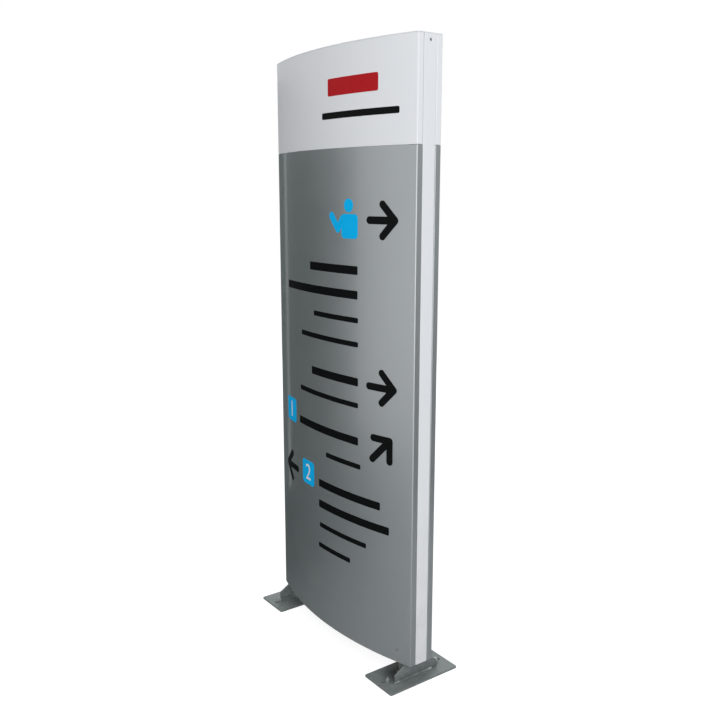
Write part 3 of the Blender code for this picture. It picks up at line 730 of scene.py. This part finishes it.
def build_shell_screws(look):
    """Lacquered button-head screws at the foot of the main shells."""
    screw = socket_screw("button_screw", head=SHELL_SCREW_HEAD, height=0.0018, socket=0.003,
                         depth=0.0012, shank=0.0042, grip=0.012, rounding=0.0013, steps=6)
    turn = math.asin(SHELL_SCREW_X / FACE_RADIUS)
    depth = FACE_RADIUS * math.cos(turn) - FACE_AXIS
    for face, way in (("front", -1), ("rear", 1)):
        for side, sign in (("left", -1), ("right", 1)):
            outward = Vector((sign * math.sin(turn), way * math.cos(turn), 0))
            point = Vector((sign * SHELL_SCREW_X, way * depth, SHELL_SCREW_Z))
            point += SHELL_SCREW_LIFT * outward
            piece = copy(screw, f"{face}_{side}_button_screw", stand(point, outward))
            dress(piece, look)
            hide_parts(f"{face}_{side}_shell_screw")
    bpy.data.objects.remove(screw, do_unlink=True)


def build_cap_screws(look):
    """Socket screws sunk in the side profiles, which hold the cap."""
    screw = socket_screw("socket_screw", head=CAP_SCREW_HEAD, height=CAP_SCREW_DEPTH, socket=0.005,
                         depth=0.003, shank=0.006, grip=0.009, rounding=0.0004, steps=3)
    for side, sign in (("left", -1), ("right", 1)):
        outward = Vector((sign, 0, 0))
        point = Vector((sign * (CAP_SCREW_X - CAP_SCREW_DEPTH), 0, CAP_SCREW_Z))
        piece = copy(screw, f"{side}_socket_screw", stand(point, outward))
        dress(piece, look)
        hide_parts(f"{side}_cap_screw")
    bpy.data.objects.remove(screw, do_unlink=True)


def puddle(name, radius, **place):
    """Ball of weld metal."""
    return add(name, bpy.ops.mesh.primitive_uv_sphere_add, segments=20, ring_count=12,
               radius=radius, **place)


def weld_bead(name, start, end, radius, lumps):
    """Fillet bead of overlapping puddles from one point to another, melted into one body. Each
    lump has its share of the way along, and its size against the puddles."""
    run = Vector(end) - Vector(start)
    pitch = radius * 0.62
    bead = puddle(name, radius, scale=(1.0, 1.0, 0.55))
    modify(bead, "ARRAY", count=max(2, round(run.length / pitch)), use_relative_offset=False,
           use_constant_offset=True, constant_offset_displace=(0, 0, pitch))
    balls = [puddle("lump", radius * size, location=(0, 0, share * run.length))
             for share, size in lumps]
    bead = fuse(name, [bead, *balls])
    modify(bead, "REMESH", mode="VOXEL", voxel_size=radius * 0.11)
    unevenness = bpy.data.textures.new("weld_unevenness", "CLOUDS")
    unevenness.noise_scale = radius * 1.6
    modify(bead, "DISPLACE", texture=unevenness, strength=radius * 0.45, mid_level=0.5)
    modify(bead, "SMOOTH", factor=0.5, iterations=3)
    bead.data.transform(stand(start, run))
    choose(bead)
    bpy.ops.object.shade_smooth()
    return bead


def build_welds(look):
    """Beads that hold the gussets and the posts to the base plates."""
    top = PLATE_TOP
    beads = [
        weld_bead("gusset_weld", (GUSSET_OUTER, -GUSSET_HALF, top),
                  (GUSSET_OUTER, GUSSET_WELD_END, top), WELD_RADIUS,
                  ((0.0, 1.25), (0.55, 1.2), (0.88, 1.2), (0.96, 1.4), (1.0, 1.3))),
        weld_bead("post_front_weld", (POST_INNER - 0.001, -POST_HALF_DEPTH, top),
                  (POST_OUTER, -POST_HALF_DEPTH, top), WELD_RADIUS, ((0.0, 1.2), (1.0, 1.1))),
        weld_bead("corner_front_weld", (POST_OUTER, -POST_HALF_DEPTH, top + 0.003),
                  (POST_OUTER, -POST_HALF_DEPTH, GUSSET_TOP - 0.005), CORNER_WELD_RADIUS,
                  ((0.0, 1.1),)),
    ]
    for bead in beads[1:]:
        beads.append(copy(bead, bead.name.replace("front", "rear"), TO_REAR))
    for bead in beads:
        twin = copy(bead, f"left_{bead.name}", TO_LEFT)
        bead.name = f"right_{bead.name}"
        for piece in (bead, twin):
            dress(piece, look)


# Cut film

def on_face(reach, height):
    """X and Z of a point on the front face, from its distance along the curve and its height in
    millimetres."""
    turn = reach / 1000 / FACE_RADIUS
    return FACE_RADIUS * math.sin(turn), height / 1000


def bar_cutter(start, end, width, corner):
    """Knife outline of a bar from one point of the face to another, with rounded corners."""
    start, end = Vector(on_face(*start)), Vector(on_face(*end))
    width, corner = width / 1000, corner / 1000
    run = end - start
    centre = (start + end) / 2
    cutter = add("cutter", bpy.ops.mesh.primitive_cube_add, size=1.0,
                 location=(centre.x, KNIFE_Y, centre.y), rotation=(0, -math.atan2(run.y, run.x), 0),
                 scale=(run.length, KNIFE_DEPTH, width))
    shape(cutter, "EDGE", lambda edge: near(abs((edge.verts[1].co - edge.verts[0].co).y), KNIFE_DEPTH))
    bevel(corner, 8)
    done()
    return cutter


def stroke_cutter(start, end, width):
    """Knife outline of a stroke with round ends, which reach half a width past its points."""
    start, end = Vector(start), Vector(end)
    reach = (end - start).normalized() * width / 2
    corner = 0.499 * width                          # just under half, which keeps a face at each end
    return bar_cutter(tuple(start - reach), tuple(end + reach), width, corner)


def disc_cutter(centre, radius):
    """Knife outline of a disc."""
    x, z = on_face(*centre)
    return add("cutter", bpy.ops.mesh.primitive_cylinder_add, vertices=64, radius=radius / 1000,
               depth=KNIFE_DEPTH, location=(x, KNIFE_Y, z), rotation=(math.pi / 2, 0, 0))


def digit_cutter(text, centre, size):
    """Knife outline of a plain digit."""
    x, z = on_face(*centre)
    bpy.ops.object.select_all(action="DESELECT")
    bpy.ops.object.text_add()
    digit = bpy.context.object
    digit.data.body = text
    digit.data.size = size / 1000
    digit.data.extrude = KNIFE_DEPTH / 2
    digit.data.align_x = "CENTER"
    digit.data.align_y = "CENTER"
    bpy.ops.object.convert(target="MESH")
    digit = bpy.context.object
    digit.data.transform(Matrix.Translation((x, KNIFE_Y, z)) @ Matrix.Rotation(math.pi / 2, 4, "X"))
    return digit


def cut_film(name, cutters, look, panel, layer=0):
    """Film laid on a panel and cut to the outlines of the knives."""
    knife = fuse("knife", cutters) if len(cutters) > 1 else cutters[0]
    corners = [vert.co for vert in knife.data.vertices]
    left = min(co.x for co in corners) - FILM_MARGIN
    right = max(co.x for co in corners) + FILM_MARGIN
    low = min(co.z for co in corners) - FILM_MARGIN
    high = max(co.z for co in corners) + FILM_MARGIN
    columns = max(4, round((right - left) / FILM_COLUMN))
    sheet = add(name, bpy.ops.mesh.primitive_grid_add, size=1.0, x_subdivisions=columns,
                y_subdivisions=1, location=((left + right) / 2, FILM_Y, (low + high) / 2),
                rotation=(math.pi / 2, 0, 0), scale=(right - left, high - low, 1.0))
    modify(sheet, "SHRINKWRAP", wrap_method="PROJECT", use_project_y=True,
           use_positive_direction=True, use_negative_direction=True, target=panel,
           offset=FILM_LIFT + layer * FILM)
    modify(sheet, "SOLIDIFY", thickness=FILM, offset=1.0)
    modify(sheet, "BOOLEAN", operation="INTERSECT", solver="EXACT", use_self=True, object=knife)
    bpy.data.objects.remove(knife, do_unlink=True)
    smooth(sheet)
    dress(sheet, look)
    return sheet


# Places and sizes on the front, along its curve and up, in millimetres
ARROW_WIDTH = 23.5
ARROW_SHAFT = 99.8
ARROW_ARM = 67.0
ARROWS = (                                         # name, tip, turn in degrees
    ("upper_arrow", (317.3, 1476.0), 0),
    ("middle_arrow", (317.3, 962.0), 0),
    ("lower_arrow", (303.0, 797.0), 45),
    ("left_arrow", (-314.5, 572.0), 180),
)
HEAVY, LIGHT = 27.0, 17.0
ROWS = (                                           # name, start, end, height, width
    ("row_1", -92, 167, 1320, HEAVY),
    ("row_2", -279, 167, 1243, HEAVY),
    ("row_3", -69, 169, 1163, LIGHT),
    ("row_4", -160, 169, 1086, LIGHT),
    ("row_5", -87, 169, 965, HEAVY),
    ("row_6", -175, 169, 888, LIGHT),
    ("row_7", -187, 169, 769, HEAVY),
    ("row_8", 0, 180, 685, LIGHT),
    ("row_9", -46, 266, 573, HEAVY),
    ("row_10", -47, 303, 498, HEAVY),
    ("row_11", -42, 206, 421, LIGHT),
    ("row_12", -50, 130, 345, LIGHT),
)
BADGES = (                                         # name, digit, middle
    ("upper_badge", "1", (-264, 787)),
    ("lower_badge", "2", (-123, 587)),
)
BADGE = 88                                         # width and height
DIGIT = 82
DIGIT_DROP = 2                                     # which puts a digit at the badge's middle
BAR_CORNER = 4.0
BADGE_CORNER = 12


def build_arrows(look, panel):
    """Arrows of three strokes with round ends."""
    for name, tip, turn in ARROWS:
        tip = Vector(tip)
        cutters = []
        for angle, length in ((180, ARROW_SHAFT), (135, ARROW_ARM), (225, ARROW_ARM)):
            angle = math.radians(turn + angle)
            end = tip + length * Vector((math.cos(angle), math.sin(angle)))
            cutters.append(stroke_cutter(tuple(tip), tuple(end), ARROW_WIDTH))
        cut_film(name, cutters, look, panel)


def build_rows(look, panel):
    """Plain bars in the rows of the layout, heavy and light."""
    for name, start, end, height, weight in ROWS:
        bar = bar_cutter((start, height), (end, height), weight, BAR_CORNER)
        cut_film(name, [bar], look, panel)


def build_badges(blue, white, panel):
    """Rounded squares, each with a plain digit on it."""
    for name, text, (reach, height) in BADGES:
        left, right = (reach - BADGE / 2, height), (reach + BADGE / 2, height)
        cut_film(name, [bar_cutter(left, right, BADGE, BADGE_CORNER)], blue, panel)
        digit = digit_cutter(text, (reach, height - DIGIT_DROP), DIGIT)
        cut_film(f"{name}_digit", [digit], white, panel, layer=1)


def build_person(look, panel):
    """Plain figure with one arm raised."""
    head = disc_cutter((126, 1519), 21)
    trunk = bar_cutter((92, 1455), (168, 1455), 76, 14)
    upper_arm = stroke_cutter((98, 1478), (74, 1446), 24)
    forearm = stroke_cutter((74, 1446), (42, 1486), 25)
    cut_film("person_figure", [head, trunk, upper_arm, forearm], look, panel)


def build_header_bars(red, black, panel):
    """Plain bars on the header."""
    upper = bar_cutter((25, 1876), (251, 1876), 52, 6)
    cut_film("header_upper_bar", [upper], red, panel)
    lower = bar_cutter((-7, 1792), (330, 1792), 20, 5)
    cut_film("header_lower_bar", [lower], black, panel)


# Studio

def build_floor():
    """Pale floor, lifted to white for the eye and for reflections, with the sign's shadow on it.
    It isn't lifted under the base plates, so that their holes look into the dark."""
    floor = add("floor", bpy.ops.mesh.primitive_circle_add, vertices=96, radius=30.0,
                fill_type="NGON", location=(0, 0, 0))
    look = Look("studio_floor", base_color=(0.28, 0.28, 0.28), roughness=0.9,
                specular_ior_level=0.0, emission_strength=1.0)
    covered = (look.within(look.distance("X"), PLATE_X, 0.02)
               * look.within(look.object_axis("Y"), 0.0, 0.13))
    look.set(emission_color=look.seen(FLOOR_LIFT) * (1.0 - covered))
    floor.data.materials.append(look.material)


def build_flag():
    """Dark card round the sign's left, on the floor and upright, which only reflections meet.
    It fades out behind the sign and on its right."""
    flag = add("flag", bpy.ops.mesh.primitive_plane_add, size=1.0,
               location=((FLAG_LEFT + FLAG_RIGHT) / 2, (FLAG_FRONT + FLAG_REAR) / 2, CARD_LIFT),
               scale=(FLAG_RIGHT - FLAG_LEFT, FLAG_REAR - FLAG_FRONT, 1.0))
    shape(flag, "EDGE", lambda edge: near(middle(edge).x, FLAG_LEFT))
    push(0, 0, FLAG_HEIGHT)
    done()
    look = Look("studio_flag", roughness=1.0, specular_ior_level=0.0)
    across, along = look.object_axis("X"), look.object_axis("Y")
    fade = look.spread(across, -0.7, 0.4)
    look.set(base_color=look.blend(fade, (0.036, 0.062, 0.056), (0.50, 0.52, 0.53)))
    look.only_reflected(look.spread(along, FLAG_REAR, 0.0) * look.spread(across, FLAG_RIGHT, 0.9))
    flag.data.materials.append(look.material)


def build_back_card():
    """Card behind the sign's right, dark on the floor and lighter up its height, with soft ends.
    The folded sides of the shells show it, and only reflections meet it."""
    outward = Vector((math.cos(BACK_TURN), math.sin(BACK_TURN), 0))
    corner = Vector((HALF_WIDTH, 0, CARD_LIFT))
    card = add("back_card", bpy.ops.mesh.primitive_plane_add, size=1.0, rotation=(0, 0, BACK_TURN),
               location=corner + BACK_REACH / 2 * outward, scale=(BACK_REACH, BACK_WIDTH, 1.0))
    shape(card, "EDGE", lambda edge: near((middle(edge) - corner).length, BACK_REACH, 0.001))
    push(0, 0, BACK_HEIGHT)
    done()
    look = Look("studio_back_card", roughness=1.0, specular_ior_level=0.0)
    shade = look.spread(look.object_axis("Z"), 0.0, 2.2)
    look.set(base_color=look.blend(shade, (0.02, 0.03, 0.03), (0.92, 0.94, 0.95)))
    along = look.object_axis("Y") * outward.x - look.object_axis("X") * outward.y
    look.only_reflected(look.spread(along, -1.55, -0.95) * look.spread(along, 1.05, 0.45))
    card.data.materials.append(look.material)


def build_strip():
    """Upright light beside the sign, a slim bright line with a soft side. Only reflections meet it."""
    strip = add("strip", bpy.ops.mesh.primitive_plane_add, size=1.0, rotation=(0, math.pi / 2, 0),
                location=(STRIP_X, STRIP_Y, STRIP_HEIGHT / 2), scale=(STRIP_HEIGHT, STRIP_WIDTH, 1.0))
    look = Look("studio_strip", base_color=(0.030, 0.048, 0.042), roughness=1.0,
                specular_ior_level=0.0, emission_strength=1.0)
    across = look.object_axis("Y")
    line = look.spread(across, -0.175, -0.160)
    side = look.spread(across, -0.60, -0.16)
    upper = look.spread(look.object_axis("Z"), 0.8, 1.7)
    look.set(emission_color=1.20 * line + 0.25 * side * side * upper)
    look.only_reflected(1.0)
    strip.data.materials.append(look.material)


def build_world():
    """White surroundings for the eye and for reflections, soft grey light on the sign."""
    world = bpy.data.worlds.new("studio")
    bpy.context.scene.world = world
    world.use_nodes = True
    nodes = Nodes(world.node_tree)
    background = world.node_tree.nodes["Background"]
    nodes.fill(background.inputs["Color"], (1.0, 1.0, 1.0))
    nodes.fill(background.inputs["Strength"], AMBIENT + nodes.seen(1.0 - AMBIENT))


def add_lamp(name, place, aim, size, power):
    """Square soft lamp of a cool white that looks at a point."""
    data = bpy.data.lights.new(name, "AREA")
    data.color = (0.965, 0.98, 1.0)
    data.size = size
    data.energy = power
    lamp = bpy.data.objects.new(name, data)
    lamp.location = place
    lamp.rotation_euler = (Vector(aim) - Vector(place)).to_track_quat("-Z", "Y").to_euler()
    bpy.context.scene.collection.objects.link(lamp)


def build_camera():
    """Camera at the photograph's place."""
    data = bpy.data.cameras.new("camera")
    data.lens = 42.074
    data.sensor_width = 36.0
    camera = bpy.data.objects.new("camera", data)
    camera.location = (2.2726, -1.6276, 1.5525)
    camera.rotation_euler = (math.radians(78.919), 0, math.radians(53.917))
    bpy.context.scene.collection.objects.link(camera)
    bpy.context.scene.camera = camera


def build_studio():
    """Floor, surroundings, lamps and camera."""
    build_floor()
    build_flag()
    build_back_card()
    build_strip()
    build_world()
    for lamp in LAMPS:
        add_lamp(*lamp)
    build_camera()
    bpy.context.scene.view_settings.view_transform = "Standard"


# The sign

def finish_nodes(finishes):
    """Better finishes on the CAD nodes, for those that no new piece replaces."""
    for name, node in frame["nodes"].items():
        slot = next(part["material_slot"] for part in frame["record"]["subparts"]
                    if part["node"] == name)
        node.data.materials.clear()
        node.data.materials.append(finishes[slot].material)


def build_sign():
    """Everything on the sign."""
    grey, white = grey_lacquer(), white_lacquer()
    finishes = {
        "grey_lacquer": grey, "white_lacquer": white, "galvanised_steel": galvanised_steel(),
        "mill_aluminium": mill_aluminium(), "zinc_fastener": zinc_plate(),
    }
    finish_nodes(finishes)
    build_shells(grey, white)
    build_cap(white)
    build_plates(finishes["galvanised_steel"])
    build_gussets(finishes["galvanised_steel"])
    build_levellers(finishes["zinc_fastener"])
    build_shell_screws(screw_lacquer())
    build_cap_screws(finishes["zinc_fastener"])
    build_welds(weld_metal())
    black = film("black_film", (0.004, 0.005, 0.005))
    blue = film("blue_film", (0.003, 0.450, 0.880))
    red = film("red_film", (0.430, 0.014, 0.018))
    pale = film("white_film", (0.80, 0.80, 0.80))
    panel = bpy.data.objects["front_main_panel"]
    header = bpy.data.objects["front_header_panel"]
    build_arrows(black, panel)
    build_rows(black, panel)
    build_badges(blue, pale, panel)
    build_person(blue, panel)
    build_header_bars(red, black, header)


build_sign()
build_studio()
